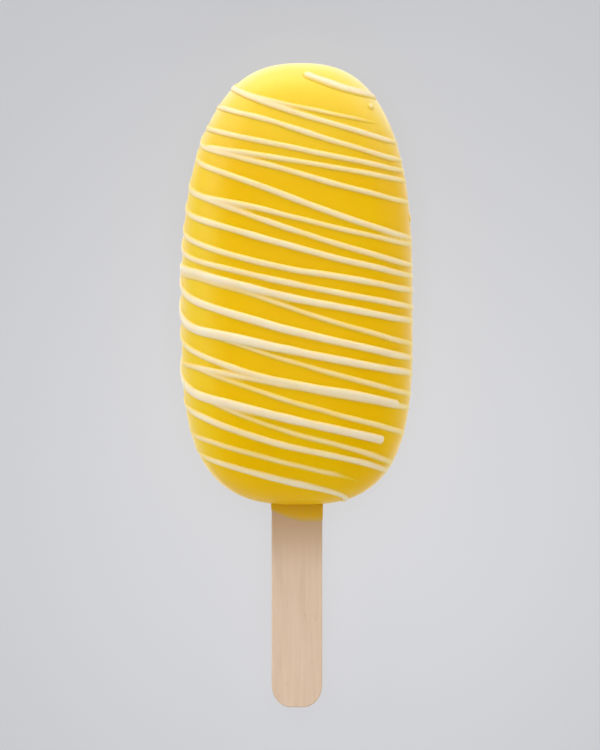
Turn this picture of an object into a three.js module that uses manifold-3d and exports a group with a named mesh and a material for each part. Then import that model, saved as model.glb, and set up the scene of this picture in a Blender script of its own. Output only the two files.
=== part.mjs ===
// Cakesicle: a cake bar in a smooth coating, crossed by strands of drizzle, on a flat wooden stick.
// It lies on its flat back. Millimetres, +Z up. The origin is on the flat back, under the stick's
// axis, where the bar is widest. +Y runs to the domed end, and the stick points along -Y.

import * as THREE from 'three';
import { mergeVertices } from 'three/addons/utils/BufferGeometryUtils.js';
import Module from 'manifold-3d';

const wasm = await Module();
wasm.setup();

// Driving dimensions of the stick
const STICK = {
  length: 114,
  width: 10,
  thickness: 2,
  shown: 40,
  cornerAcross: 3.8,
  cornerAlong: 4.4,
  easedEdge: 0.25,
};

// Driving dimensions of the bar: an outline of two half superellipses that meet at the widest line,
// each with a power for how long it stays wide and one for how blunt its tip is, and a section that
// is fuller in front than behind
const BAR = {
  halfWidth: 22.8,
  midLevel: 9,
  frontRise: 14,
  backDepth: 12,
  sectionPower: 2.7,
  dome: { length: 48.6, outlinePower: 2.75, tipPower: 2.55, risePower: 3.8, lean: 0.75 },
  foot: { length: 38.4, outlinePower: 3.5, tipPower: 2.75, risePower: 3.4, lean: 0.3 },
};
const FIT_GAP = 0.3;

// Faces of the bar and of a bead. A bead has a ring wherever it passes an edge between two of the
// bar's columns of faces, so it lies equally deep all along.
const COLUMNS = 24;
const RINGS = 20;
const BEAD_SIDES = 6;

// A strand crosses the front between two shoulders, and its place is the fraction of the way from
// the left shoulder (0) to the right one (1). It runs on down both walls to the flat back.
const SHOULDER = { left: THREE.MathUtils.degToRad(150), right: THREE.MathUtils.degToRad(30) };
const FOOT_OF_WALL = { left: -0.5, right: 1.5 };
const WALL_EASE = 0.15;
const CLIMB_REACH = 0.45;

// How far a strand sways to and fro along the bar on its way across
const SWAY = 0.18;

// How deep a bead sits in the coating, and how far its end sinks where it thins out, in bead widths
const BEAD_SEAT = 0.12;
const FADE_DEPTH = 0.7;
const FADE_START = 0.7;

// The strands from the domed end down: height along the bar at the left shoulder, in the middle and
// at the right shoulder, the climb over the left wall, and the bead's width. A strand may also
// start or stop on the front, with a rounded tip or thinning out.
const STRANDS = [
  { left: 47.1, middle: 46.1, right: 42.0, climb: 0, width: 1.7, from: 0.58, start: 'round' },
  { left: 42.8, middle: 39.4, right: 36.3, climb: 0.5, width: 1.3, to: 1.0, stop: 'thin' },
  { left: 42.8, middle: 38.1, right: 33.5, climb: 0.5, width: 1.4 },
  { left: 39.2, middle: 34.9, right: 30.0, climb: 0, width: 1.4 },
  { left: 34.7, middle: 31.2, right: 27.8, climb: 0.7, width: 1.4 },
  { left: 31.5, middle: 28.8, right: 25.8, climb: 0, width: 1.4, from: -0.05, start: 'round' },
  { left: 30.9, middle: 26.4, right: 21.8, climb: 3.8, width: 1.4 },
  { left: 27.5, middle: 21.2, right: 15.1, climb: 4.3, width: 1.5 },
  { left: 21.7, middle: 17.7, right: 13.5, climb: 4.0, width: 1.4 },
  { left: 21.5, middle: 15.1, right: 9.7, climb: 4.0, width: 1.5 },
  { left: 17.1, middle: 11.9, right: 7.4, climb: 3.6, width: 1.5 },
  { left: 12.3, middle: 7.5, right: 4.5, climb: 4.3, width: 1.5 },
  { left: 9.0, middle: 4.7, right: 1.2, climb: 5.0, width: 1.5 },
  { left: 6.6, middle: 2.0, right: -1.5, climb: 1.2, width: 1.9 },
  { left: 5.6, middle: -0.2, right: -5.7, climb: 1.2, width: 1.2 },
  { left: 0.9, middle: -4.5, right: -8.7, climb: 6.2, width: 2.0 },
  { left: -4.4, middle: -8.3, right: -11.8, climb: 7.4, width: 2.1 },
  { left: -4.5, middle: -10.6, right: -15.5, climb: 7.4, width: 1.2 },
  { left: -9.3, middle: -14.8, right: -18.1, climb: 5.6, width: 1.8, to: 1.04, stop: 'round' },
  { left: -11.7, middle: -15.3, right: -18.5, climb: 1.5, width: 1.4 },
  { left: -12.2, middle: -18.4, right: -23.1, climb: 1.5, width: 1.2 },
  { left: -17.4, middle: -21.8, right: -25.5, climb: 8.2, width: 2.0, to: 0.99, stop: 'round' },
  { left: -21.6, middle: -27.2, right: -30.6, climb: 3.7, width: 1.6 },
  { left: -17.5, middle: -24.5, right: -28.8, climb: 8.2, width: 1.2 },
  { left: -26.0, middle: -30.5, right: -33.8, climb: 2.4, width: 1.3, to: 0.9, stop: 'thin' },
  { left: -30.0, middle: -34.0, right: -36.9, climb: 3.4, width: 1.8, to: 1.09, stop: 'round' },
];

// Loose drops of drizzle: height along the bar, angle round it and width
const DROPS = [
  { height: 39.6, angle: THREE.MathUtils.degToRad(29), width: 1.5 },
  { height: 18.0, angle: THREE.MathUtils.degToRad(6), width: 1.4 },
];

// Half width, rise, depth and sideways lean of the bar's section at a height along it
function barSection(height) {
  const end = height > 0 ? BAR.dome : BAR.foot;
  const fraction = Math.min(Math.abs(height) / end.length, 1);
  const narrowing = (1 - fraction ** end.outlinePower) ** (1 / end.tipPower);
  const lowering = (1 - fraction ** end.risePower) ** (1 / end.risePower);
  return {
    halfWidth: BAR.halfWidth * narrowing,
    rise: BAR.frontRise * lowering,
    depth: BAR.backDepth * lowering,
    lean: end.lean * fraction ** 2,
  };
}

// The point of the bar's surface at a height along it and an angle round its middle line, which is
// 0 at the right, a quarter turn in front and a half turn at the left
function barPoint(height, angle, outward = 0) {
  const { halfWidth, rise, depth, lean } = barSection(height);
  const centre = new THREE.Vector3(lean, height, BAR.midLevel);
  if (halfWidth === 0) return centre;
  const across = Math.cos(angle);
  const up = Math.sin(angle);
  const power = BAR.sectionPower;
  const sideways = Math.abs(across / halfWidth) ** power;
  const upright = Math.abs(up / (up > 0 ? rise : depth)) ** power;
  const reach = (sideways + upright) ** (-1 / power) + outward;
  return centre.add(new THREE.Vector3(across, 0, up).multiplyScalar(reach));
}

// A closed three.js geometry as a solid that can be joined and cut
function solidOf(geometry) {
  const bare = geometry.clone();
  bare.deleteAttribute('normal');
  bare.deleteAttribute('uv');
  const merged = mergeVertices(bare);
  return new wasm.Manifold(new wasm.Mesh({
    numProp: 3,
    vertProperties: new Float32Array(merged.attributes.position.array),
    triVerts: new Uint32Array(merged.index.array),
  }));
}

// A solid back as a three.js geometry
function geometryOf(solid) {
  const { vertProperties, triVerts } = solid.getMesh();
  const geometry = new THREE.BufferGeometry();
  geometry.setAttribute('position', new THREE.BufferAttribute(new Float32Array(vertProperties), 3));
  geometry.setIndex(new THREE.BufferAttribute(new Uint32Array(triVerts), 1));
  geometry.computeVertexNormals();
  return geometry;
}

// The angle round the bar after a share of a full turn, dealt out so that the columns of faces
// crowd at the shoulders and spread over the flat front
function columnAngle(share) {
  const turn = 2 * Math.PI * share;
  const power = 2 / BAR.sectionPower;
  const across = Math.sign(Math.cos(turn)) * BAR.halfWidth * Math.abs(Math.cos(turn)) ** power;
  const up = Math.sign(Math.sin(turn)) * BAR.frontRise * Math.abs(Math.sin(turn)) ** power;
  return Math.atan2(up, across);
}

// The bar's rounded body, a ball whose rings are drawn out to the bar's sections
function barBody() {
  const ball = new THREE.SphereGeometry(1, COLUMNS, RINGS);
  const place = ball.attributes.position;
  for (let i = 0; i < place.count; i += 1) {
    const ring = place.getY(i);
    const end = ring > 0 ? BAR.dome : BAR.foot;
    const height = Math.sign(ring) * end.length * Math.abs(ring) ** (2 / end.outlinePower);
    const share = Math.atan2(place.getZ(i), place.getX(i)) / (2 * Math.PI);
    place.setXYZ(i, ...barPoint(height, columnAngle(share)));
  }
  return solidOf(ball);
}

// How far a strand has travelled past a shoulder, slowing on its way down the wall
function eased(distance) {
  return distance / (1 + distance / WALL_EASE);
}

// How a strand's sag is spread over its travel: most of it lies before the middle, where it is 1
function sagShare(travel) {
  const middle = 0.5;
  return (travel * (1 - travel) ** 2) / (middle * (1 - middle) ** 2);
}

// The height of a strand along the bar at a fraction of its way across. It sways a little towards
// the foot before the middle and back after it.
function strandHeight(strand, fraction) {
  const beyondLeft = Math.max(-fraction, 0);
  const beyondRight = Math.max(fraction - 1, 0);
  const onFront = THREE.MathUtils.clamp(fraction, 0, 1);
  const travel = onFront - eased(beyondLeft) + eased(beyondRight);
  const chord = THREE.MathUtils.lerp(strand.left, strand.right, travel);
  const sag = strand.middle - (strand.left + strand.right) / 2;
  const climb = strand.climb * THREE.MathUtils.smoothstep(beyondLeft, 0, CLIMB_REACH);
  const sway = SWAY * Math.sin(2 * Math.PI * travel);
  return chord + sag * sagShare(travel) + climb - sway;
}

// The fractions of the way across at which a strand passes from one column of faces to the next
function columnCrossings(from, to) {
  const crossings = [];
  for (let column = 0; column < COLUMNS; column += 1) {
    const angle = columnAngle(0.75 - column / COLUMNS);
    const overLeft = angle < -Math.PI / 2 ? angle + 2 * Math.PI : angle;
    crossings.push(THREE.MathUtils.inverseLerp(SHOULDER.left, SHOULDER.right, overLeft));
  }
  return [from, ...crossings.filter((crossing) => crossing > from && crossing < to), to];
}

// A centre line with a ring of the bead at each of its points
class CentreLine extends THREE.Curve {
  constructor(points) {
    super();
    this.points = points;
  }

  getPointAt(position) {
    return this.points[Math.round(position * (this.points.length - 1))].clone();
  }

  getTangentAt(position) {
    const last = this.points.length - 1;
    const here = Math.round(position * last);
    const before = this.points[Math.max(here - 1, 0)];
    const after = this.points[Math.min(here + 1, last)];
    return after.clone().sub(before).normalize();
  }
}

// A strand as round beading along the surface, with a ball at each rounded tip
function strandSolid(strand) {
  const from = strand.from ?? FOOT_OF_WALL.left;
  const to = strand.to ?? FOOT_OF_WALL.right;
  const points = columnCrossings(from, to).map((fraction) => {
    const thinning = strand.stop === 'thin' ? THREE.MathUtils.smoothstep(fraction, FADE_START, to) : 0;
    const sunk = strand.width * THREE.MathUtils.lerp(BEAD_SEAT, FADE_DEPTH, thinning);
    const angle = THREE.MathUtils.lerp(SHOULDER.left, SHOULDER.right, fraction);
    return barPoint(strandHeight(strand, fraction), angle, -sunk);
  });
  const bead = new THREE.Shape();
  bead.absarc(0, 0, strand.width / 2, 0, 2 * Math.PI);
  const beading = solidOf(new THREE.ExtrudeGeometry(bead, {
    steps: points.length - 1,
    curveSegments: BEAD_SIDES / 2,
    extrudePath: new CentreLine(points),
  }));
  const tips = [];
  if (strand.start === 'round') tips.push(points.at(0));
  if (strand.stop === 'round') tips.push(points.at(-1));
  return tips.reduce((solid, tip) => solid.add(dropSolid(tip, strand.width)), beading);
}

// A drop of drizzle, or the rounded tip of a strand
function dropSolid(centre, width) {
  const ball = new THREE.IcosahedronGeometry(width / 2, 1);
  ball.translate(...centre);
  return solidOf(ball);
}

// The stick's outline, grown all round by a margin, with its foot end at the origin
function stickOutline(margin) {
  const half = STICK.width / 2 + margin;
  const across = STICK.cornerAcross + margin;
  const along = STICK.cornerAlong + margin;
  const flat = half - across;
  const low = -margin;
  const high = STICK.length + margin;
  const outline = new THREE.Shape();
  outline.absellipse(flat, low + along, across, along, -Math.PI / 2, 0);
  outline.absellipse(flat, high - along, across, along, 0, Math.PI / 2);
  outline.absellipse(-flat, high - along, across, along, Math.PI / 2, Math.PI);
  outline.absellipse(-flat, low + along, across, along, Math.PI, 1.5 * Math.PI);
  return outline;
}

// The stick's plan, raised to a thickness about the bar's middle level
function stickPlank(margin, easedEdge) {
  const thickness = STICK.thickness + 2 * margin;
  const plank = new THREE.ExtrudeGeometry(stickOutline(margin - easedEdge), {
    depth: thickness - 2 * easedEdge,
    curveSegments: 5,
    bevelEnabled: easedEdge > 0,
    bevelSize: easedEdge,
    bevelThickness: easedEdge,
    bevelSegments: 2,
  });
  plank.translate(0, -BAR.foot.length - STICK.shown, BAR.midLevel - thickness / 2 + easedEdge);
  return plank;
}

// The coated bar: body and drizzle in one, cut flat at the back and slotted for the stick
function coatedCake() {
  const drizzle = STRANDS.map(strandSolid);
  const drops = DROPS.map(({ height, angle, width }) => dropSolid(barPoint(height, angle), width));
  const whole = [...drizzle, ...drops].reduce((solid, piece) => solid.add(piece), barBody());
  const ground = new THREE.BoxGeometry(4 * BAR.halfWidth, 4 * BAR.dome.length, 2 * BAR.backDepth);
  ground.translate(0, 0, -BAR.backDepth);
  return geometryOf(whole.subtract(solidOf(ground)).subtract(solidOf(stickPlank(FIT_GAP, 0))));
}

// A named piece with its own finish
function piece(name, geometry, colour, roughness) {
  const material = new THREE.MeshStandardMaterial({ color: colour, roughness, metalness: 0 });
  const mesh = new THREE.Mesh(geometry, material);
  mesh.name = name;
  return mesh;
}

const cakesicle = new THREE.Group();
cakesicle.add(piece('coated_cake', coatedCake(), 0xf2c21a, 0.38));
cakesicle.add(piece('stick', stickPlank(0, STICK.easedEdge), 0xd3b9a0, 0.75));

export default cakesicle;
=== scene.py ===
"""The looks of a cakesicle: a yellow coated cake bar under cream drizzle, on a wooden stick.

It lies on its flat back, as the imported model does. +Y runs to the domed end, the stick points along -Y
and the rounded front is up. The coating and the drizzle stand for the one fused solid of the model.
"""

import logging
import math
from contextlib import contextmanager
from dataclasses import dataclass
from enum import Enum
from itertools import pairwise
from typing import Callable, Iterator

import bmesh
import bpy
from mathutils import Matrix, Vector, noise
from mathutils.bvhtree import BVHTree


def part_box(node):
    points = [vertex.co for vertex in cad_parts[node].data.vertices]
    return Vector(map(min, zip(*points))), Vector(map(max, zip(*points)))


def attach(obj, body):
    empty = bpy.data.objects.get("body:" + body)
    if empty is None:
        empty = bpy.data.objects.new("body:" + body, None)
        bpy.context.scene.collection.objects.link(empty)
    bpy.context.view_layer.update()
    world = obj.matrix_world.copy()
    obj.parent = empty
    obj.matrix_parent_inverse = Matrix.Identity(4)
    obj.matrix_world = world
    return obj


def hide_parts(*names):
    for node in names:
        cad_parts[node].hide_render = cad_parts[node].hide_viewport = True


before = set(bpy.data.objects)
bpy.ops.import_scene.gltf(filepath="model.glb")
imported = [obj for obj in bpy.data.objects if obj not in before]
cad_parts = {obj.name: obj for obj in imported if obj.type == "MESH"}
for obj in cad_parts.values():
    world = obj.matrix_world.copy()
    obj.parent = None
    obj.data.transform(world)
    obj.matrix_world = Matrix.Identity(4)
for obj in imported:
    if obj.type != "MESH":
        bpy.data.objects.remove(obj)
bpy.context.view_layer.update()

log = logging.getLogger("cakesicle")

MM = 0.001
BODY = "root"
COVER = "cover"
TOUCH = 0.001 * MM
NEAR = 0.01 * MM

Pair = tuple[float, float]
Triple = tuple[float, float, float]
Colour = Triple
Socket = bpy.types.NodeSocket


class Slot(Enum):
    """The record's material slots."""

    COATING = "coating"
    DRIZZLE = "drizzle"
    STICK_WOOD = "stick_wood"


class Node(Enum):
    """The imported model's nodes."""

    COATED_CAKE = "coated_cake"
    STICK = "stick"


STICK_LOW, STICK_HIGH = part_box(Node.STICK.value)
STICK_SIZE = STICK_HIGH - STICK_LOW
STICK_CENTRE = (STICK_HIGH + STICK_LOW) / 2


class Tip(Enum):
    """How a strand of drizzle begins or ends."""

    RUNS_DOWN = "runs down the wall to the flat back"
    ROUND = "stops in a rounded tip"
    THIN = "thins out into the coating"


def lerp(start: float, end: float, share: float) -> float:
    """The value a share of the way from start to end."""
    return start + (end - start) * share


def clamp(value: float, low: float, high: float) -> float:
    """The value, kept between low and high."""
    return max(low, min(high, value))


def smoothstep(value: float, low: float, high: float) -> float:
    """A soft step from 0 at low to 1 at high."""
    share = clamp((value - low) / (high - low), 0.0, 1.0)
    return share * share * (3 - 2 * share)


def deselect_all() -> None:
    """Deselects every object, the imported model's among them."""
    bpy.ops.object.select_all(action="DESELECT")


def select_only(*objects: bpy.types.Object) -> None:
    """Selects these objects alone, and makes the first one active."""
    deselect_all()
    for item in objects:
        item.select_set(True)
    bpy.context.view_layer.objects.active = objects[0]


@contextmanager
def edit_mode(obj: bpy.types.Object) -> Iterator[None]:
    """Opens a mesh in edit mode and closes it again."""
    select_only(obj)
    bpy.ops.object.mode_set(mode="EDIT")
    yield
    bpy.ops.object.mode_set(mode="OBJECT")


def select_points(obj: bpy.types.Object, wanted: Callable[[Vector], bool]) -> None:
    """Selects, in edit mode, the points at the wanted places with the edges and faces between them."""
    bpy.ops.mesh.select_mode(type="VERT")
    bpy.ops.mesh.select_all(action="DESELECT")
    shape = bmesh.from_edit_mesh(obj.data)
    for point in shape.verts:
        point.select_set(wanted(point.co))
    shape.select_flush(True)
    bmesh.update_edit_mesh(obj.data)


def settle(obj: bpy.types.Object) -> None:
    """Moves an object's place into its mesh, so that it sits at the origin unturned and unscaled."""
    select_only(obj)
    bpy.ops.object.transform_apply(location=True, rotation=True, scale=True)


def apply_modifier(obj: bpy.types.Object, kind: str, **settings: object) -> None:
    """Adds a modifier of this kind and with these settings to an object, and applies it."""
    select_only(obj)
    modifier = obj.modifiers.new(kind.lower(), kind)
    for name, value in settings.items():
        setattr(modifier, name, value)
    bpy.ops.object.modifier_apply(modifier=modifier.name)


def face_outwards() -> None:
    """Turns all faces outwards, in edit mode."""
    bpy.ops.mesh.select_all(action="SELECT")
    bpy.ops.mesh.normals_make_consistent(inside=False)


def cut_flush(level: float = 0.0) -> None:
    """Cuts off, in edit mode, what reaches below a level above the flat back, and closes the cut."""
    bpy.ops.mesh.select_all(action="SELECT")
    bpy.ops.mesh.bisect(
        plane_co=(0, 0, level),
        plane_no=(0, 0, 1),
        use_fill=True,
        clear_inner=True,
        threshold=TOUCH,
    )


def settle_onto(
    piece: bpy.types.Object,
    ground: bpy.types.Object,
    settled: Callable[[float], float],
    full: float,
) -> None:
    """Lets a piece sink a little onto what it lies on, and stores how thickly each point covers it.

    Args:
        piece: the mesh that lies on the ground.
        ground: the mesh below it.
        settled: gives a point's new height above the ground from its old height.
        full: the thickness at which nothing of the ground shines through.
    """
    tree = BVHTree.FromObject(ground, bpy.context.evaluated_depsgraph_get())
    layer = piece.data.attributes.new(COVER, "FLOAT", "POINT")
    for point, cell in zip(piece.data.vertices, layer.data):
        spot, normal, _, _ = tree.find_nearest(point.co)
        height = (point.co - spot).dot(normal)
        if height > 0:
            height = settled(height)
            point.co = spot + normal * height
        cell.value = clamp(height / full, 0.0, 1.0)


def dress(
    piece: bpy.types.Object,
    material: bpy.types.Material,
    node: Node,
) -> bpy.types.Object:
    """Gives a finished piece its material and body, and hides the node it stands for."""
    piece.data.materials.append(material)
    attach(piece, BODY)
    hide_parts(node.value)
    return piece


@dataclass(frozen=True)
class Section:
    """The bar's cross-section at one height along it."""

    half_width: float
    rise: float
    depth: float
    lean: float


@dataclass(frozen=True)
class BarEnd:
    """One end of the bar, from its widest line to its tip.

    Attributes:
        length: the distance from the widest line to the tip.
        outline_power: how long the outline stays wide.
        tip_power: how blunt the tip is.
        rise_power: how square the side profile is.
        lean: how far the tip lies to the right of the middle line.
    """

    length: float
    outline_power: float
    tip_power: float
    rise_power: float
    lean: float


@dataclass(frozen=True)
class BarForm:
    """The bar's rounded form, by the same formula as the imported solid."""

    half_width: float = 22.8 * MM
    mid_level: float = 9 * MM
    front_rise: float = 14 * MM
    back_depth: float = 12 * MM
    section_power: float = 2.7
    dome: BarEnd = BarEnd(48.6 * MM, 2.75, 2.55, 3.8, 0.75 * MM)
    foot: BarEnd = BarEnd(38.4 * MM, 3.5, 2.75, 3.4, 0.3 * MM)

    def section(self, height: float) -> Section:
        """The cross-section at a height along the bar."""
        end = self.dome if height > 0 else self.foot
        fraction = min(abs(height) / end.length, 1.0)
        narrowing = (1 - fraction**end.outline_power) ** (1 / end.tip_power)
        lowering = (1 - fraction**end.rise_power) ** (1 / end.rise_power)
        return Section(
            half_width=self.half_width * narrowing,
            rise=self.front_rise * lowering,
            depth=self.back_depth * lowering,
            lean=end.lean * fraction**2,
        )

    def point(self, height: float, angle: float, outward: float = 0.0) -> Vector:
        """A point on the bar's surface.

        Args:
            height: its place along the bar.
            angle: its angle round the middle line, 0 at the right and a quarter turn in front.
            outward: how far it stands out of the surface.
        """
        section = self.section(height)
        centre = Vector((section.lean, height, self.mid_level))
        if section.half_width == 0:
            return centre
        across, up = math.cos(angle), math.sin(angle)
        sideways = abs(across / section.half_width) ** self.section_power
        upright = abs(up / (section.rise if up > 0 else section.depth)) ** self.section_power
        reach = (sideways + upright) ** (-1 / self.section_power) + outward
        return centre + Vector((across, 0.0, up)) * reach

    def column_angle(self, share: float) -> float:
        """The angle after a share of a full turn, dealt out so that columns crowd at the shoulders."""
        turn = 2 * math.pi * share
        power = 2 / self.section_power
        across = math.copysign(self.half_width * abs(math.cos(turn)) ** power, math.cos(turn))
        up = math.copysign(self.front_rise * abs(math.sin(turn)) ** power, math.sin(turn))
        return math.atan2(up, across)


@dataclass(frozen=True)
class Grain:
    """A noise pattern, and how it shows.

    Attributes:
        size: how wide a patch is.
        detail: how many finer layers it has.
        shown: the noise values between which it comes up from nothing to full.
        strength: how strongly it shows at full.
        along: how far the patches are drawn in along the bar. Under 1 they are drawn out.
        roughness: how strong the finer layers are.
        depth: how deep its relief is.
    """

    size: float
    detail: float = 2.0
    shown: Pair = (0.3, 0.7)
    strength: float = 1.0
    along: float = 1.0
    roughness: float = 0.5
    depth: float = 0.0


class Bench:
    """A node tree under construction, with short calls to add and join nodes."""

    # The numbers of a mix node's sockets for colours
    MIX_SHARE = 0
    MIX_COLOURS = (6, 7)
    MIX_RESULT = 2

    def __init__(self, owner: bpy.types.Material | bpy.types.World) -> None:
        """Clears the owner's tree."""
        owner.use_nodes = True
        self.tree = owner.node_tree
        self.tree.nodes.clear()

    def add(
        self,
        kind: str,
        values: dict[str | int, object] | None = None,
        **settings: object,
    ) -> bpy.types.Node:
        """Adds a node.

        Args:
            kind: the node's type.
            values: what its unlinked sockets hold, by name or number. A socket is linked instead.
            settings: the node's own options.

        Returns:
            The new node.
        """
        node = self.tree.nodes.new(kind)
        for name, value in settings.items():
            setattr(node, name, value)
        for name, value in (values or {}).items():
            if isinstance(value, Socket):
                self.tree.links.new(value, node.inputs[name])
            else:
                node.inputs[name].default_value = value
        return node

    def place(self, along: float = 1.0) -> Socket:
        """Object coordinates, drawn in along the bar by a factor."""
        spot = self.add("ShaderNodeTexCoord").outputs["Object"]
        mapping = self.add("ShaderNodeMapping", {"Vector": spot, "Scale": (1.0, along, 1.0)})
        return mapping.outputs["Vector"]

    def noise(self, grain: Grain) -> Socket:
        """The noise of a grain, mostly between 0.3 and 0.7."""
        values = {
            "Vector": self.place(grain.along),
            "Scale": 1 / grain.size,
            "Detail": grain.detail,
            "Roughness": grain.roughness,
        }
        return self.add("ShaderNodeTexNoise", values).outputs["Fac"]

    def shown(self, grain: Grain, value: Socket | None = None) -> Socket:
        """How strongly a grain shows, from 0 to its strength. Its noise may be made already."""
        if value is None:
            value = self.noise(grain)
        return self.ranged(value, grain.shown, (0.0, grain.strength))

    def relief(self, grain: Grain, below: Socket | None = None) -> Socket:
        """A normal roughened by a grain, laid over another normal."""
        return self.bump(self.noise(grain), grain.depth, below)

    def ranged(self, value: Socket, old: Pair, new: Pair = (0.0, 1.0)) -> Socket:
        """A value moved softly from one range to another."""
        limits = dict(zip(("From Min", "From Max", "To Min", "To Max"), (*old, *new)))
        values = {"Value": value, **limits}
        return self.add("ShaderNodeMapRange", values, interpolation_type="SMOOTHSTEP").outputs["Result"]

    def product(self, *values: Socket) -> Socket:
        """The product of several values."""
        result = values[0]
        for value in values[1:]:
            node = self.add("ShaderNodeMath", {0: result, 1: value}, operation="MULTIPLY")
            result = node.outputs["Value"]
        return result

    def attribute(self, name: str) -> Socket:
        """A value that is stored on the piece's points."""
        return self.add("ShaderNodeAttribute", attribute_name=name).outputs["Fac"]

    def mix(self, share: Socket, first: object, second: object) -> Socket:
        """Two colours, mixed by a share."""
        values = {self.MIX_SHARE: share}
        for number, colour in zip(self.MIX_COLOURS, (first, second)):
            values[number] = colour if isinstance(colour, Socket) else (*colour, 1.0)
        return self.add("ShaderNodeMix", values, data_type="RGBA").outputs[self.MIX_RESULT]

    def bump(self, height: Socket, depth: float, below: Socket | None = None) -> Socket:
        """A normal roughened by a height from 0 to 1, laid over another normal."""
        values: dict[str | int, object] = {"Height": height, "Distance": depth, "Strength": 1.0}
        if below is not None:
            values["Normal"] = below
        return self.add("ShaderNodeBump", values).outputs["Normal"]

    def surface(self, values: dict[str | int, object]) -> None:
        """Ends the tree in a principled shader with these values."""
        shader = self.add("ShaderNodeBsdfPrincipled", values)
        self.add("ShaderNodeOutputMaterial", {"Surface": shader.outputs["BSDF"]})


@dataclass(frozen=True)
class CoatingFinish:
    """The bar's coating: smooth, satin, and a little translucent.

    Attributes:
        colour: its yellow, clouded with the paler one.
        domed: a paler yellow towards the domed end, painted light and sheen, and where along the bar it
            comes up.
        painted_left_light: a paler yellow on the left wall, painted light and sheen, and where across
            the bar it goes down.
        rim: a pale yellow on the domed end's upper wall, a painted highlight; where along the bar it
            comes up, and between which
        levels it goes down at the top and comes up at the foot.
        satin: its roughness, from the smoothest places to the roughest.
        glow_depth: how deep light goes into it.
    """

    name: str = "yellow_coating"
    colour: Colour = (0.912, 0.533, 0.0)
    paler: Colour = (0.917, 0.557, 0.001)
    # A paler yellow towards the domed end: painted light and sheen
    domed: Colour = (0.95, 0.66, 0.052)
    painted_dome_light_reach: Pair = (22 * MM, 48 * MM)
    # A paler yellow on the left wall: painted light and sheen from the left
    painted_left_light: Colour = (0.935, 0.635, 0.014)
    painted_left_light_reach: Pair = (-21 * MM, -12 * MM)
    # A pale yellow on the domed end's upper wall: a painted highlight
    rim: Colour = (0.962, 0.75, 0.25)
    rim_highlight_reach: Pair = (26 * MM, 45 * MM)
    rim_highlight_top: Pair = (14 * MM, 19.5 * MM)
    rim_highlight_foot: Pair = (3 * MM, 8 * MM)
    satin: Pair = (0.33, 0.41)
    glow_depth: float = 0.8 * MM
    cloud: Grain = Grain(14 * MM, shown=(0.35, 0.65))
    wear: Grain = Grain(3 * MM, detail=3.0)
    swell: Grain = Grain(6 * MM, detail=1.0, depth=0.06 * MM)
    skin: Grain = Grain(0.5 * MM, depth=0.004 * MM)

    def material(self) -> bpy.types.Material:
        """The material for the bar."""
        made = bpy.data.materials.new(self.name)
        bench = Bench(made)
        satin = bench.ranged(bench.noise(self.wear), self.wear.shown, self.satin)
        spot = bench.add("ShaderNodeSeparateXYZ", {"Vector": bench.place()})
        # Paler on the left wall: painted light
        left_light_share = bench.ranged(spot.outputs["X"], self.painted_left_light_reach, (1.0, 0.0))
        # Paler towards the domed end: painted light
        dome_light_share = bench.ranged(spot.outputs["Y"], self.painted_dome_light_reach)
        yellow = bench.mix(bench.shown(self.cloud), self.colour, self.paler)
        yellow = bench.mix(left_light_share, yellow, self.painted_left_light)
        yellow = bench.mix(dome_light_share, yellow, self.domed)
        # Pale on the domed end's upper wall: a painted highlight
        rim_highlight_share = bench.product(
            bench.ranged(spot.outputs["Y"], self.rim_highlight_reach),
            bench.ranged(spot.outputs["Z"], self.rim_highlight_top, (1.0, 0.0)),
            bench.ranged(spot.outputs["Z"], self.rim_highlight_foot),
        )
        bench.surface({
            "Base Color": bench.mix(rim_highlight_share, yellow, self.rim),
            "Roughness": satin,
            "IOR": 1.33,
            "Subsurface Weight": 0.3,
            "Subsurface Radius": (1.0, 0.6, 0.1),
            "Subsurface Scale": self.glow_depth,
            "Normal": bench.relief(self.skin, bench.relief(self.swell)),
        })
        return made


@dataclass(frozen=True)
class NeckFinish:
    """The film of coating on the stick, so thin at its edge that the wood shows.

    Attributes:
        opaque: the share of the full thickness from which no wood shows.
        streaked: how much of its cover the streaks leave at least, and at most.
    """

    name: str = "thin_coating"
    film: Colour = (0.745, 0.43, 0.0)
    # The edge colour is the wood seen through the thin film, darkened with painted shade from the bar,
    # as the stick beside it is
    edge: Colour = (0.565, 0.41, 0.18)
    opaque: float = 0.8
    streaks: Grain = Grain(0.8 * MM, along=0.2, depth=0.02 * MM)
    streaked: Pair = (0.9, 1.0)

    def material(self) -> bpy.types.Material:
        """The material for the neck."""
        made = bpy.data.materials.new(self.name)
        bench = Bench(made)
        streaks = bench.ranged(bench.noise(self.streaks), self.streaks.shown, self.streaked)
        thickness = bench.product(bench.ranged(bench.attribute(COVER), (0.0, self.opaque)), streaks)
        bench.surface({
            "Base Color": bench.mix(thickness, self.edge, self.film),
            "Roughness": 0.45,
            "IOR": 1.3,
            "Normal": bench.bump(streaks, self.streaks.depth),
        })
        return made


@dataclass(frozen=True)
class DrizzleFinish:
    """Cream drizzle: satin, and yellower where it is thin enough for the coating to shine through."""

    name: str = "cream_drizzle"
    cream: Colour = (0.94, 0.805, 0.58)
    warmer: Colour = (0.93, 0.78, 0.535)
    thin: Colour = (0.93, 0.62, 0.02)
    glow_depth: float = 0.6 * MM
    cloud: Grain = Grain(5 * MM, shown=(0.35, 0.65))
    skin: Grain = Grain(0.6 * MM, depth=0.006 * MM)

    def material(self) -> bpy.types.Material:
        """The material for the strands and drops."""
        made = bpy.data.materials.new(self.name)
        bench = Bench(made)
        cream = bench.mix(bench.shown(self.cloud), self.cream, self.warmer)
        thickness = bench.ranged(bench.attribute(COVER), (0.0, 1.0))
        bench.surface({
            "Base Color": bench.mix(thickness, self.thin, cream),
            "Roughness": 0.4,
            "IOR": 1.4,
            "Subsurface Weight": 0.6,
            "Subsurface Radius": (1.0, 0.75, 0.4),
            "Subsurface Scale": self.glow_depth,
            "Normal": bench.relief(self.skin),
        })
        return made


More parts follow.
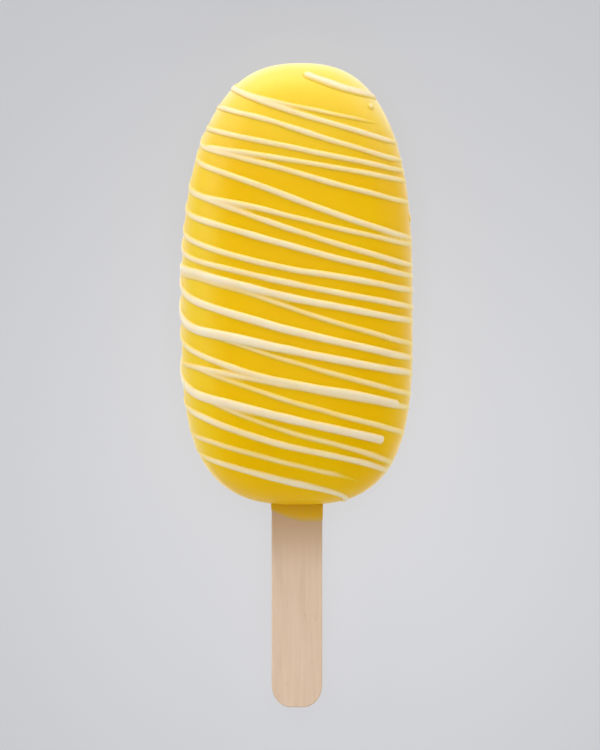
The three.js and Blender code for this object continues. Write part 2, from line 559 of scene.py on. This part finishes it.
@dataclass(frozen=True)
class WoodFinish:
    """Bare pale birch with fine straight grain, darker below the bar, where painted shade stands in for
    the bar's shadow.
    """

    name: str = "birch"
    light: Colour = (0.803, 0.608, 0.444)
    dark: Colour = (0.73, 0.54, 0.385)
    pink: Colour = (0.81, 0.605, 0.455)
    pore: Colour = (0.50, 0.34, 0.22)
    # Darker wood next to the bar: painted shade where the bar shades the stick
    painted_shade: Colour = (0.575, 0.39, 0.245)
    painted_shade_reach: Pair = (-52 * MM, -41 * MM)
    streaks: Grain = Grain(1.1 * MM, detail=3.0, along=0.05, roughness=0.6)
    mottle: Grain = Grain(5 * MM, shown=(0.4, 0.65), strength=0.55, along=0.35)
    fibres: Grain = Grain(0.28 * MM, 3.0, (0.45, 0.75), 0.45, 0.02, 0.6, depth=0.02 * MM)
    pores: Grain = Grain(0.16 * MM, 1.0, (0.66, 0.78), 0.32, 0.07, depth=-0.01 * MM)

    def material(self) -> bpy.types.Material:
        """The material for the stick."""
        made = bpy.data.materials.new(self.name)
        bench = Bench(made)
        fibres = bench.noise(self.fibres)
        pores = bench.noise(self.pores)
        height = bench.add("ShaderNodeSeparateXYZ", {"Vector": bench.place()}).outputs["Y"]
        colour = bench.mix(bench.shown(self.streaks), self.light, self.dark)
        colour = bench.mix(bench.shown(self.mottle), colour, self.pink)
        colour = bench.mix(bench.shown(self.fibres, fibres), colour, self.dark)
        colour = bench.mix(bench.shown(self.pores, pores), colour, self.pore)
        # Darkens the wood towards the bar: painted shade
        colour = bench.mix(bench.ranged(height, self.painted_shade_reach), colour, self.painted_shade)
        relief = bench.bump(pores, self.pores.depth, bench.bump(fibres, self.fibres.depth))
        bench.surface({"Base Color": colour, "Roughness": 0.72, "IOR": 1.45, "Normal": relief})
        return made


@dataclass(frozen=True)
class FloorFinish:
    """The pale floor, lighter in the middle. Most of it is its own glow, so that shadows stay faint."""

    name: str = "pale_floor"
    matt: Colour = (0.12, 0.122, 0.13)
    middle: Colour = (0.60, 0.603, 0.625)
    rim: Colour = (0.447, 0.45, 0.47)
    centre: Triple = (8 * MM, -33 * MM, 0.0)
    reach: float = 125 * MM

    def material(self) -> bpy.types.Material:
        """The material for the floor."""
        made = bpy.data.materials.new(self.name)
        bench = Bench(made)
        spread = (1 / self.reach,) * 3
        away = tuple(-place / self.reach for place in self.centre)
        spot = bench.add("ShaderNodeTexCoord").outputs["Object"]
        spot = bench.add("ShaderNodeMapping", {"Vector": spot, "Scale": spread, "Location": away})
        values = {"Vector": spot.outputs["Vector"]}
        ball = bench.add("ShaderNodeTexGradient", values, gradient_type="SPHERICAL")
        glow = bench.mix(bench.ranged(ball.outputs["Fac"], (0.0, 1.0)), self.rim, self.middle)
        bench.surface({
            "Base Color": (*self.matt, 1.0),
            "Roughness": 0.9,
            "Specular IOR Level": 0.0,
            "Emission Color": glow,
            "Emission Strength": 1.0,
        })
        return made


@dataclass
class CoatedBar:
    """The bar in its coating.

    Attributes:
        sides: columns of faces round the bar.
        rings: rings of faces from the widest line to each end.
        ripple_size, ripple_depth: how wide and how deep the coating's slight swells are.
        crease: the angle from which an edge stays sharp.
    """

    form: BarForm
    material: bpy.types.Material
    sides: int = 96
    rings: int = 40
    ripple_size: float = 12 * MM
    ripple_depth: float = 0.16 * MM
    crease: float = math.radians(20)

    def build(self) -> bpy.types.Object:
        """Models the coated bar."""
        bar = self._widest_ring()
        with edit_mode(bar):
            self._draw_out(bar, self.form.dome, 1)
            self._draw_out(bar, self.form.foot, -1)
            face_outwards()
        apply_modifier(bar, "SUBSURF", levels=1, render_levels=1)
        self._ripple(bar)
        with edit_mode(bar):
            cut_flush()
        bpy.ops.object.shade_smooth_by_angle(angle=self.crease)
        return dress(bar, self.material, Node.COATED_CAKE)

    def _widest_ring(self) -> bpy.types.Object:
        """A ring of edges round the bar where it is widest."""
        bpy.ops.mesh.primitive_circle_add(
            vertices=self.sides,
            radius=self.form.half_width,
            location=(0, 0, self.form.mid_level),
            rotation=(math.pi / 2, 0, 0),
        )
        ring = bpy.context.object
        ring.name = "coating"
        settle(ring)
        for index, point in enumerate(ring.data.vertices):
            point.co = self.form.point(0.0, self.form.column_angle(index / self.sides))
        return ring

    def _draw_out(self, bar: bpy.types.Object, end: BarEnd, side: int) -> None:
        """Extrudes the widest ring to one end, drawing it in ring by ring, and closes the tip.

        The side is 1 towards the dome and -1 towards the foot.
        """
        select_points(bar, lambda place: abs(place.y) < NEAR)
        height, here = 0.0, self.form.section(0.0)
        for step in range(1, self.rings + 1):
            turn = math.pi / 2 * step / self.rings
            after = side * end.length * math.sin(turn) ** (2 / end.outline_power)
            there = self.form.section(after)
            move = (there.lean - here.lean, after - height, 0)
            bpy.ops.mesh.extrude_edges_move(TRANSFORM_OT_translate={"value": move})
            if step == self.rings:
                bpy.ops.mesh.merge(type="CENTER")
                return
            bpy.ops.transform.resize(
                value=(there.half_width / here.half_width, 1, there.rise / here.rise),
                center_override=(there.lean, after, self.form.mid_level),
            )
            height, here = after, there

    def _ripple(self, bar: bpy.types.Object) -> None:
        """Gives the coating the slight swells that a dipped coating has."""
        swell = bpy.data.textures.new("coating_swell", "CLOUDS")
        swell.noise_scale = self.ripple_size
        swell.noise_depth = 1
        settings = {"texture_coords": "LOCAL", "strength": self.ripple_depth, "mid_level": 0.5}
        apply_modifier(bar, "DISPLACE", texture=swell, **settings)


@dataclass(frozen=True)
class Strand:
    """One strand of drizzle across the front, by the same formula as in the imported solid. Millimetres.

    Attributes:
        left, middle, right: its height along the bar at the left shoulder, in the middle of the front
            and at the right shoulder.
        climb: how far it climbs on its way over the left wall.
        widths: its width in the same three places.
        start, stop: the fractions of the way across where it starts and stops.
        start_tip, stop_tip: how it starts and stops.
        fade: the fraction where a strand that thins out begins to do so.
        reliefs: how proud it stands on the left wall, the front and the right wall. A full bead has 1.
    """

    left: float
    middle: float
    right: float
    climb: float
    widths: Triple
    start: float = -0.5
    stop: float = 1.5
    start_tip: Tip = Tip.RUNS_DOWN
    stop_tip: Tip = Tip.RUNS_DOWN
    fade: float = 0.7
    reliefs: Triple = (0.9, 1.0, 0.5)

    # The shoulders' angles round the bar
    LEFT_SHOULDER = math.radians(150)
    RIGHT_SHOULDER = math.radians(30)
    # How fast a strand slows, climbs and flattens on a wall, in fractions of the way across
    WALL_EASE = 0.15
    CLIMB_REACH = 0.45
    WALL_REACH = 0.22
    # How deep its middle line lies, in widths: at no relief, what full relief takes off, and thinned out
    BURIED = 0.5
    PROUD = 0.38
    FADE_DEPTH = 0.6
    # How narrow a strand gets that thins out, and the fraction over which one comes in
    FADE_WIDTH = 0.6
    FADE_IN = 0.25
    # How far it sways and wanders, in millimetres, and how uneven its width is, as a share
    SWAY = 0.18
    WANDER = 0.12
    UNEVENNESS = 0.09
    # Where in the noise these two are read: per fraction, per seed, and how far off
    WANDER_NOISE = (5, 1.3, 8.5)
    WIDTH_NOISE = (9, 3.7, 0.5)
    STEPS_ACROSS = 48

    def height(self, fraction: float) -> float:
        """The height along the bar at a fraction of the way across the front."""
        beyond_left = max(-fraction, 0.0)
        beyond_right = max(fraction - 1, 0.0)
        travel = clamp(fraction, 0.0, 1.0) - self._eased(beyond_left) + self._eased(beyond_right)
        sag = self.middle - (self.left + self.right) / 2
        share = travel * (1 - travel) ** 2 / 0.5**3
        climb = self.climb * smoothstep(beyond_left, 0.0, self.CLIMB_REACH)
        sway = self.SWAY * math.sin(2 * math.pi * travel)
        return (lerp(self.left, self.right, travel) + sag * share + climb - sway) * MM

    def _eased(self, distance: float) -> float:
        """How far a strand has travelled past a shoulder, slowing on its way down the wall."""
        return distance / (1 + distance / self.WALL_EASE)

    def _noise(self, fraction: float, seed: int, place: Triple) -> float:
        """The noise at a fraction of the way across, read at its own place."""
        return noise.noise(Vector((place[0] * fraction, place[1] * seed, place[2])))

    def thinning(self, fraction: float) -> float:
        """How far a strand that thins out has thinned, from 0 to 1."""
        thinned = 0.0
        if self.start_tip is Tip.THIN:
            thinned = 1 - smoothstep(fraction, self.start, self.start + self.FADE_IN)
        if self.stop_tip is Tip.THIN:
            thinned = max(thinned, smoothstep(fraction, self.fade, self.stop))
        return thinned

    def relief(self, fraction: float) -> float:
        """How proud a strand is at a fraction of the way across, against 1 for a full round bead."""
        left, front, right = self.reliefs
        down_left = smoothstep(-fraction, 0.0, self.WALL_REACH)
        down_right = smoothstep(fraction - 1, 0.0, self.WALL_REACH)
        return lerp(lerp(front, left, down_left), right, down_right)

    def width(self, fraction: float, seed: int) -> float:
        """The bead's width at a fraction of the way across, as uneven as poured drizzle is."""
        left, middle, right = self.widths
        across = clamp(fraction, 0.0, 1.0)
        base = lerp(left, middle, 2 * across) if across < 0.5 else lerp(middle, right, 2 * across - 1)
        uneven = self.UNEVENNESS * self._noise(fraction, seed, self.WIDTH_NOISE)
        return base * (1 + uneven) * lerp(1.0, self.FADE_WIDTH, self.thinning(fraction)) * MM

    def course(self, form: BarForm, seed: int) -> list[tuple[Vector, float]]:
        """The points of the strand's centre line on a bar, each with the bead's radius there.

        The seed tells its unevenness from the other strands'.
        """
        steps = round(self.STEPS_ACROSS * (self.stop - self.start))
        line = []
        for step in range(steps + 1):
            fraction = lerp(self.start, self.stop, step / steps)
            width = self.width(fraction, seed)
            seat = self.BURIED - self.PROUD * self.relief(fraction)
            sunk = width * lerp(seat, self.FADE_DEPTH, self.thinning(fraction))
            angle = lerp(self.LEFT_SHOULDER, self.RIGHT_SHOULDER, fraction)
            wander = self.WANDER * MM * self._noise(fraction, seed, self.WANDER_NOISE)
            line.append((form.point(self.height(fraction) + wander, angle, -sunk), width / 2))
        return line


@dataclass(frozen=True)
class Drop:
    """A loose drop of drizzle, the cap of a ball that is sunk in the coating.

    Attributes:
        height: its place along the bar.
        angle: its angle round the bar.
        width: the ball's width.
        sunk: how far the ball's middle is below the surface.
    """

    height: float
    angle: float
    width: float
    sunk: float


STRANDS_DOME = (
    Strand(
        47.1, 46.1, 42.0, 0, (2.3, 2.4, 2.6),
        start=0.58, stop=1.4, start_tip=Tip.ROUND, stop_tip=Tip.THIN, fade=1.0, reliefs=(0.5, 0.5, 0.6),
    ),
    Strand(
        42.8, 39.4, 36.3, 0.5, (1.6, 1.3, 1.15),
        stop=1.08, stop_tip=Tip.THIN, fade=0.85, reliefs=(0.6, 0.9, 0.9),
    ),
    Strand(42.8, 38.1, 33.5, 0.5, (1.5, 1.5, 1.5), reliefs=(0.6, 1.0, 0.35)),
    Strand(39.2, 34.9, 30.0, 0, (1.45, 1.45, 1.45), reliefs=(0.4, 1.0, 0.35)),
    Strand(34.7, 31.2, 27.8, 0.7, (1.45, 1.45, 1.45), reliefs=(0.4, 1.0, 0.35)),
    Strand(
        31.5, 28.8, 25.8, 0, (1.5, 1.3, 1.4),
        start=-0.05, start_tip=Tip.ROUND, reliefs=(0.9, 1.0, 0.35),
    ),
    Strand(30.9, 26.4, 21.8, 3.8, (1.4, 1.4, 1.45), reliefs=(0.8, 1.0, 0.35)),
    Strand(27.5, 21.2, 15.1, 4.3, (1.5, 1.55, 1.55), reliefs=(0.4, 1.0, 0.4)),
    Strand(21.7, 17.7, 13.5, 4.0, (1.5, 1.35, 1.35), reliefs=(0.6, 1.0, 0.5)),
    Strand(21.5, 15.1, 9.7, 4.0, (1.5, 1.45, 1.5), reliefs=(0.5, 1.0, 0.5)),
)
STRANDS_MIDDLE = (
    Strand(17.1, 11.9, 7.4, 3.6, (1.6, 1.6, 1.55), reliefs=(0.6, 1.0, 0.5)),
    Strand(12.3, 7.5, 4.5, 4.3, (1.55, 1.55, 1.6), reliefs=(0.7, 1.0, 0.5)),
    Strand(9.0, 4.7, 1.2, 5.0, (1.5, 1.55, 1.6)),
    Strand(6.6, 2.0, -1.5, 1.2, (1.95, 1.8, 1.65)),
    Strand(5.6, -0.2, -5.7, 1.2, (1.3, 1.35, 1.5), reliefs=(0.9, 0.85, 0.45)),
    Strand(0.9, -4.5, -8.7, 6.2, (1.95, 1.95, 1.75)),
    Strand(-4.4, -8.3, -11.8, 7.4, (2.3, 2.0, 1.75)),
)
STRANDS_FOOT = (
    Strand(-4.5, -10.6, -15.5, 7.4, (1.3, 1.35, 1.5), reliefs=(0.9, 0.85, 0.35)),
    Strand(-9.3, -14.8, -18.1, 5.6, (1.45, 1.8, 2.0), stop=1.045, stop_tip=Tip.ROUND),
    Strand(-11.7, -15.3, -18.5, 1.5, (1.4, 1.5, 1.5), reliefs=(0.4, 1.0, 0.25)),
    Strand(-12.2, -18.4, -23.1, 1.5, (1.3, 1.4, 1.5), reliefs=(0.4, 0.85, 0.35)),
    Strand(-17.4, -21.8, -25.5, 8.2, (2.15, 1.95, 2.0), stop=0.99, stop_tip=Tip.ROUND),
    Strand(-21.6, -27.2, -30.6, 3.7, (1.65, 1.65, 1.5), reliefs=(0.6, 1.0, 0.3)),
    Strand(-17.5, -24.5, -28.8, 8.2, (1.3, 1.35, 1.45), reliefs=(0.5, 0.85, 0.35)),
    Strand(
        -26.0, -30.5, -33.8, 2.4, (1.4, 1.4, 1.4),
        stop=0.97, stop_tip=Tip.THIN, fade=0.75, reliefs=(0.4, 0.85, 0.85),
    ),
    Strand(
        -30.0, -34.0, -36.9, 3.4, (1.5, 1.95, 1.5),
        stop=1.09, stop_tip=Tip.ROUND, reliefs=(0.4, 1.0, 0.6),
    ),
)
DOME_DROP = Drop(39.6 * MM, math.radians(29), 2.2 * MM, 0.74 * MM)
SIDE_DROP = Drop(18.0 * MM, math.radians(6), 2.4 * MM, 0.7 * MM)


@dataclass
class DrizzleBand:
    """The strands that lie on one part of the bar, run together into one piece.

    Attributes:
        strands: the strands, from the domed end down.
        first_seed: tells the first strand's unevenness from the other strands'.
        smoothing: how many times they are smoothed after that.
        full_cover: how thick the drizzle is where no yellow shines through.
        edge_share, crest_share: how much of its height it keeps along its edges and its crests.
        crest_height: the height of a crest.
        clearance: how far above the flat back the drizzle ends, so that the two faces don't coincide.
        crease: the angle from which an edge stays sharp.
    """

    name: str
    form: BarForm
    material: bpy.types.Material
    strands: tuple[Strand, ...]
    first_seed: int
    drops: tuple[Drop, ...] = ()
    voxel: float = 0.21 * MM
    quick_voxel: float = 0.3 * MM
    smoothing: int = 3
    full_cover: float = 0.49 * MM
    edge_share: float = 0.4
    crest_share: float = 0.64
    crest_height: float = 0.5 * MM
    clearance: float = 0.02 * MM
    crease: float = math.radians(60)

    def build(self, coating: bpy.types.Object) -> bpy.types.Object:
        """Models the band's strands and drops on the coated bar, and runs them together."""
        beads = []
        for seed, strand in enumerate(self.strands, self.first_seed):
            beads += self._pour(strand, seed)
        for drop in self.drops:
            centre = self.form.point(drop.height, drop.angle, -drop.sunk)
            beads.append(self._ball(centre, drop.width / 2))
        select_only(*beads)
        bpy.ops.object.join()
        band = bpy.context.object
        band.name = self.name
        settle(band)
        voxel = self.voxel
        apply_modifier(band, "REMESH", mode="VOXEL", voxel_size=voxel)
        apply_modifier(band, "SMOOTH", factor=0.5, iterations=self.smoothing)
        settle_onto(band, coating, self._settled, self.full_cover)
        with edit_mode(band):
            cut_flush(self.clearance)
        bpy.ops.object.shade_smooth_by_angle(angle=self.crease)
        return dress(band, self.material, Node.COATED_CAKE)

    def _settled(self, height: float) -> float:
        """A point's height once the drizzle has settled: its edges lie flatter than its crests."""
        share = smoothstep(height, 0.0, self.crest_height)
        return height * lerp(self.edge_share, self.crest_share, share)

    def _pour(self, strand: Strand, seed: int) -> list[bpy.types.Object]:
        """Models a strand by drawing a point along its course and giving the line a round bead.

        Returns:
            The bead, and a ball for each rounded tip.
        """
        course = strand.course(self.form, seed)
        bpy.ops.mesh.primitive_plane_add(size=MM, location=course[0][0])
        bead = bpy.context.object
        with edit_mode(bead):
            bpy.ops.mesh.merge(type="CENTER")
            for (here, _), (there, _) in pairwise(course):
                bpy.ops.mesh.extrude_vertices_move(TRANSFORM_OT_translate={"value": there - here})
        bpy.ops.object.convert(target="CURVE")
        bead = bpy.context.object
        bead.data.bevel_depth = MM
        bead.data.bevel_resolution = 3
        bead.data.use_fill_caps = True
        line = list(bead.data.splines[0].points)
        if line[0].co.length > line[-1].co.length:
            line.reverse()
        for point, (_, radius) in zip(line, course):
            point.radius = radius / MM
        bpy.ops.object.convert(target="MESH")
        settle(bead)
        balls = []
        if strand.start_tip is Tip.ROUND:
            balls.append(self._ball(*course[0]))
        if strand.stop_tip is Tip.ROUND:
            balls.append(self._ball(*course[-1]))
        return [bead, *balls]

    def _ball(self, centre: Vector, radius: float) -> bpy.types.Object:
        """A ball of drizzle, for a rounded tip or a loose drop."""
        bpy.ops.mesh.primitive_ico_sphere_add(subdivisions=3, radius=radius, location=centre)
        return bpy.context.object


@dataclass
class Neck:
    """The film of coating that ran down onto the stick, thinner towards its slanting edge.

    Attributes:
        start: where it starts, hidden in the bar.
        left_edge, right_edge: where its edge is on the stick's two sides.
        sag: how much its edge bulges between the two.
        ripple: how uneven its edge is.
        thickness: how thick it is at the bar.
        thinning: how late it thins out on its way down.
        tucked: how far below the wood's surface it ends.
        corner: the rounding of its corners.
        strips, rings: how many strips of faces it has across the stick, and rings along it.
        crease: the angle from which an edge stays sharp.
    """

    material: bpy.types.Material
    start: float = -37.0 * MM
    left_edge: float = -39.7 * MM
    right_edge: float = -41.8 * MM
    sag: float = 0.9 * MM
    ripple: float = 0.12 * MM
    thickness: float = 0.16 * MM
    thinning: float = 2.5
    tucked: float = 0.01 * MM
    corner: float = 0.25 * MM
    strips: int = 24
    rings: int = 12
    crease: float = math.radians(50)

    def build(self) -> bpy.types.Object:
        """Models the film as a box round the stick, cut into rings that are drawn down to its edge."""
        place = (STICK_CENTRE.x, self.start, STICK_CENTRE.z)
        bpy.ops.mesh.primitive_plane_add(size=1, location=place, rotation=(math.pi / 2, 0, 0))
        neck = bpy.context.object
        neck.name = "neck_film"
        bpy.ops.transform.resize(value=(STICK_SIZE.x, 1, STICK_SIZE.z))
        settle(neck)
        with edit_mode(neck):
            bpy.ops.mesh.bevel(offset=self.corner, segments=3, affect="VERTICES")
            for step in range(1, self.strips):
                across = STICK_LOW.x + STICK_SIZE.x * step / self.strips
                bpy.ops.mesh.select_all(action="SELECT")
                bpy.ops.mesh.bisect(plane_co=(across, 0, 0), plane_no=(1, 0, 0), threshold=TOUCH)
            bpy.ops.mesh.select_all(action="SELECT")
            for _ in range(self.rings):
                bpy.ops.mesh.extrude_region_move(TRANSFORM_OT_translate={"value": (0, -MM, 0)})
            face_outwards()
        self._draw_down(neck)
        bpy.ops.object.shade_smooth_by_angle(angle=self.crease)
        return dress(neck, self.material, Node.COATED_CAKE)

    def _edge(self, across: float) -> float:
        """Where the film ends, from a share of the way across the stick."""
        bulge = self.sag * math.sin(math.pi * across)
        ripple = self.ripple * noise.noise(Vector((5 * across, 2.5, 0.5)))
        return lerp(self.left_edge, self.right_edge, across) - bulge + ripple

    def _draw_down(self, neck: bpy.types.Object) -> None:
        """Draws the rings down to the slanting edge, thinner and thinner, and stores the thickness."""
        middle, half = STICK_CENTRE, STICK_SIZE / 2
        layer = neck.data.attributes.new(COVER, "FLOAT", "POINT")
        for point, cell in zip(neck.data.vertices, layer.data):
            ring = (self.start - point.co.y) / MM / self.rings
            across = clamp((point.co.x - STICK_LOW.x) / STICK_SIZE.x, 0.0, 1.0)
            film = self.thickness * math.sqrt(max(1 - ring**self.thinning, 0.0)) - self.tucked
            point.co.y = lerp(self.start, self._edge(across), ring)
            point.co.x = middle.x + (point.co.x - middle.x) * (1 + film / half.x)
            point.co.z = middle.z + (point.co.z - middle.z) * (1 + film / half.z)
            cell.value = clamp(film / self.thickness, 0.0, 1.0)


@dataclass
class Stick:
    """The flat wooden stick.

    Attributes:
        corner_across, corner_along: how far a rounded corner reaches across and along the stick.
        corner_facets: how many edges it is made of.
        eased_edge: the rounding of the long edges.
        crease: the angle from which an edge stays sharp.
    """

    material: bpy.types.Material
    corner_across: float = 3.8 * MM
    corner_along: float = 4.4 * MM
    corner_facets: int = 14
    eased_edge: float = 0.25 * MM
    crease: float = math.radians(50)

    def build(self) -> bpy.types.Object:
        """Models the stick from its plan."""
        squeeze = self.corner_across / self.corner_along
        place = (STICK_CENTRE.x, STICK_CENTRE.y, STICK_LOW.z)
        bpy.ops.mesh.primitive_plane_add(size=1, location=place)
        stick = bpy.context.object
        stick.name = "wooden_stick"
        with edit_mode(stick):
            bpy.ops.transform.resize(value=(STICK_SIZE.x, STICK_SIZE.y * squeeze, 1))
            bpy.ops.mesh.bevel(offset=self.corner_across, segments=self.corner_facets, affect="VERTICES")
            bpy.ops.mesh.select_all(action="SELECT")
            bpy.ops.transform.resize(value=(1, 1 / squeeze, 1), center_override=place)
            bpy.ops.mesh.extrude_region_move(TRANSFORM_OT_translate={"value": (0, 0, STICK_SIZE.z)})
            face_outwards()
            self._select_rims(stick)
            bpy.ops.mesh.bevel(offset=self.eased_edge, segments=3, affect="EDGES")
        settle(stick)
        bpy.ops.object.shade_smooth_by_angle(angle=self.crease)
        with edit_mode(stick):
            # Keeps the rounding of their rims from showing on the two flat faces
            select_points(stick, lambda spot: min(spot.z - STICK_LOW.z, STICK_HIGH.z - spot.z) < TOUCH)
            bpy.ops.mesh.faces_shade_flat()
        return dress(stick, self.material, Node.STICK)

    def _select_rims(self, stick: bpy.types.Object) -> None:
        """Selects the edges round the stick's two flat faces."""
        bpy.ops.mesh.select_mode(type="EDGE")
        bpy.ops.mesh.select_all(action="DESELECT")
        shape = bmesh.from_edit_mesh(stick.data)
        for edge in shape.edges:
            first, second = edge.verts
            edge.select_set(abs(first.co.z - second.co.z) < NEAR)
        bmesh.update_edit_mesh(stick.data)


@dataclass(frozen=True)
class Panel:
    """A soft light panel that faces the bar, or another point.

    Attributes:
        size: its width and height.
        strength: its power in watts.
        lights, mirrored, seen: whether matt surfaces, glossy surfaces and a camera are reached by it.
        aim: the point it faces, where that isn't the bar.
    """

    name: str
    place: Triple
    size: Pair
    strength: float
    lights: bool = True
    mirrored: bool = True
    seen: bool = True
    aim: Triple | None = None

    def hang(self, target: Vector) -> None:
        """Adds the panel, turned to the target unless it has an aim of its own."""
        place = Vector(self.place)
        if self.aim:
            target = Vector(self.aim)
        bpy.ops.object.light_add(type="AREA", location=place)
        lamp = bpy.context.object
        lamp.name = self.name
        lamp.rotation_euler = (target - place).to_track_quat("-Z", "Y").to_euler()
        lamp.data.shape = "RECTANGLE"
        lamp.data.size, lamp.data.size_y = self.size
        lamp.data.energy = self.strength
        lamp.visible_diffuse = self.lights
        lamp.visible_glossy = self.mirrored
        lamp.visible_camera = self.seen


@dataclass
class Studio:
    """The pale floor, the soft light and the camera that looks down on the bar.

    Attributes:
        rim_width: the share of the floor that turns up at its rim.
        rim_rise: how far it turns up, as a share of the floor's radius.
        view_distance: how far the camera is above the bar's middle level.
        view_height: how much it sees from top to bottom there.
        sensor: the sensor's height in millimetres.
        sky_top: how high in the sky it is darkest.
    """

    floor_material: bpy.types.Material
    floor_radius: float = 4.0
    rim_width: float = 0.25
    rim_rise: float = 0.12
    view_distance: float = 1.0
    view_height: float = 148.1 * MM
    view_centre: Pair = (0.60 * MM, -12.84 * MM)
    sensor: float = 36.0
    mid_level: float = 9 * MM
    horizon: float = 0.15
    zenith: float = 0.02
    sky_top: float = 0.75
    sky: Colour = (0.97, 0.98, 1.0)
    panels: tuple[Panel, ...] = (
        Panel("dome_side_light", (-0.12, 1.10, 0.32), (1.3, 0.6), 6.4),
        Panel("dome_side_gloss", (-0.12, 1.00, 0.34), (1.7, 0.6), 9.0, lights=False),
        Panel("dome_fill", (0.00, 0.20, 0.10), (0.3, 0.1), 0.04, mirrored=False),
        Panel("left_light", (-1.05, 0.45, 0.42), (1.0, 0.8), 6.3),
        Panel("right_light", (0.98, 0.72, 0.36), (1.0, 0.7), 5.2),
        Panel("foot_side_light", (0.10, -1.05, 0.60), (0.9, 0.6), 6.2, mirrored=False),
        Panel("overhead_light", (-0.05, 0.40, 1.50), (1.4, 1.4), 11.4, mirrored=False),
        Panel(
            "floor_card", (0.0, 0.035, 0.0003), (0.16, 0.15), 0.052,
            lights=False, seen=False, aim=(0.0, 0.035, 1.0),
        ),
    )

    def build(self) -> None:
        """Sets up floor, light and camera."""
        self._floor()
        self._sky()
        for panel in self.panels:
            panel.hang(Vector((self.view_centre[0], 0.0, self.mid_level)))
        self._camera()
        settings = bpy.context.scene.view_settings
        settings.view_transform = "Standard"
        settings.look = "None"

    def _floor(self) -> None:
        """A wide round floor that turns up at its rim."""
        bpy.ops.mesh.primitive_circle_add(vertices=128, radius=self.floor_radius, fill_type="NGON")
        floor = bpy.context.object
        floor.name = "floor"
        with edit_mode(floor):
            select_points(floor, lambda place: True)
            bpy.ops.mesh.inset(thickness=self.rim_width * self.floor_radius)
            flat_radius = (1 - self.rim_width / 2) * self.floor_radius
            select_points(floor, lambda place: place.length > flat_radius)
            bpy.ops.transform.translate(value=(0, 0, self.rim_rise * self.floor_radius))
        bpy.ops.object.shade_smooth()
        floor.data.materials.append(self.floor_material)

    def _sky(self) -> None:
        """A sky that is light at the horizon and dark overhead, where the bar's front faces."""
        world = bpy.data.worlds.new("studio")
        bpy.context.scene.world = world
        bench = Bench(world)
        direction = bench.add("ShaderNodeTexCoord").outputs["Generated"]
        split = bench.add("ShaderNodeSeparateXYZ", {"Vector": direction})
        strength = bench.ranged(split.outputs["Z"], (0.0, self.sky_top), (self.horizon, self.zenith))
        glow = bench.add("ShaderNodeBackground", {"Color": (*self.sky, 1.0), "Strength": strength})
        bench.add("ShaderNodeOutputWorld", {"Surface": glow.outputs["Background"]})

    def _camera(self) -> None:
        """The camera straight above, framed as in the photograph."""
        place = (*self.view_centre, self.mid_level + self.view_distance)
        bpy.ops.object.camera_add(location=place, rotation=(0, 0, 0))
        camera = bpy.context.object
        camera.data.sensor_width = self.sensor
        camera.data.lens = self.sensor * self.view_distance / self.view_height
        camera.data.clip_start = 0.05
        camera.data.clip_end = 20
        bpy.context.scene.camera = camera


def main() -> None:
    """Builds the pieces in order and reports each one."""
    logging.basicConfig(level=logging.INFO, format="%(name)s: %(message)s")
    form = BarForm()
    coating = CoatedBar(form, CoatingFinish().material()).build()
    pieces = [coating]
    drizzle = DrizzleFinish().material()
    for band in (
        DrizzleBand("drizzle_dome", form, drizzle, STRANDS_DOME, 1, (DOME_DROP, SIDE_DROP)),
        DrizzleBand("drizzle_middle", form, drizzle, STRANDS_MIDDLE, 20),
        DrizzleBand("drizzle_foot", form, drizzle, STRANDS_FOOT, 40),
    ):
        pieces.append(band.build(coating))
    pieces.append(Neck(NeckFinish().material()).build())
    pieces.append(Stick(WoodFinish().material()).build())
    for piece in pieces:
        log.info("%s: %d faces", piece.name, len(piece.data.polygons))
    Studio(FloorFinish().material()).build()


if __name__ == "__main__":
    main()
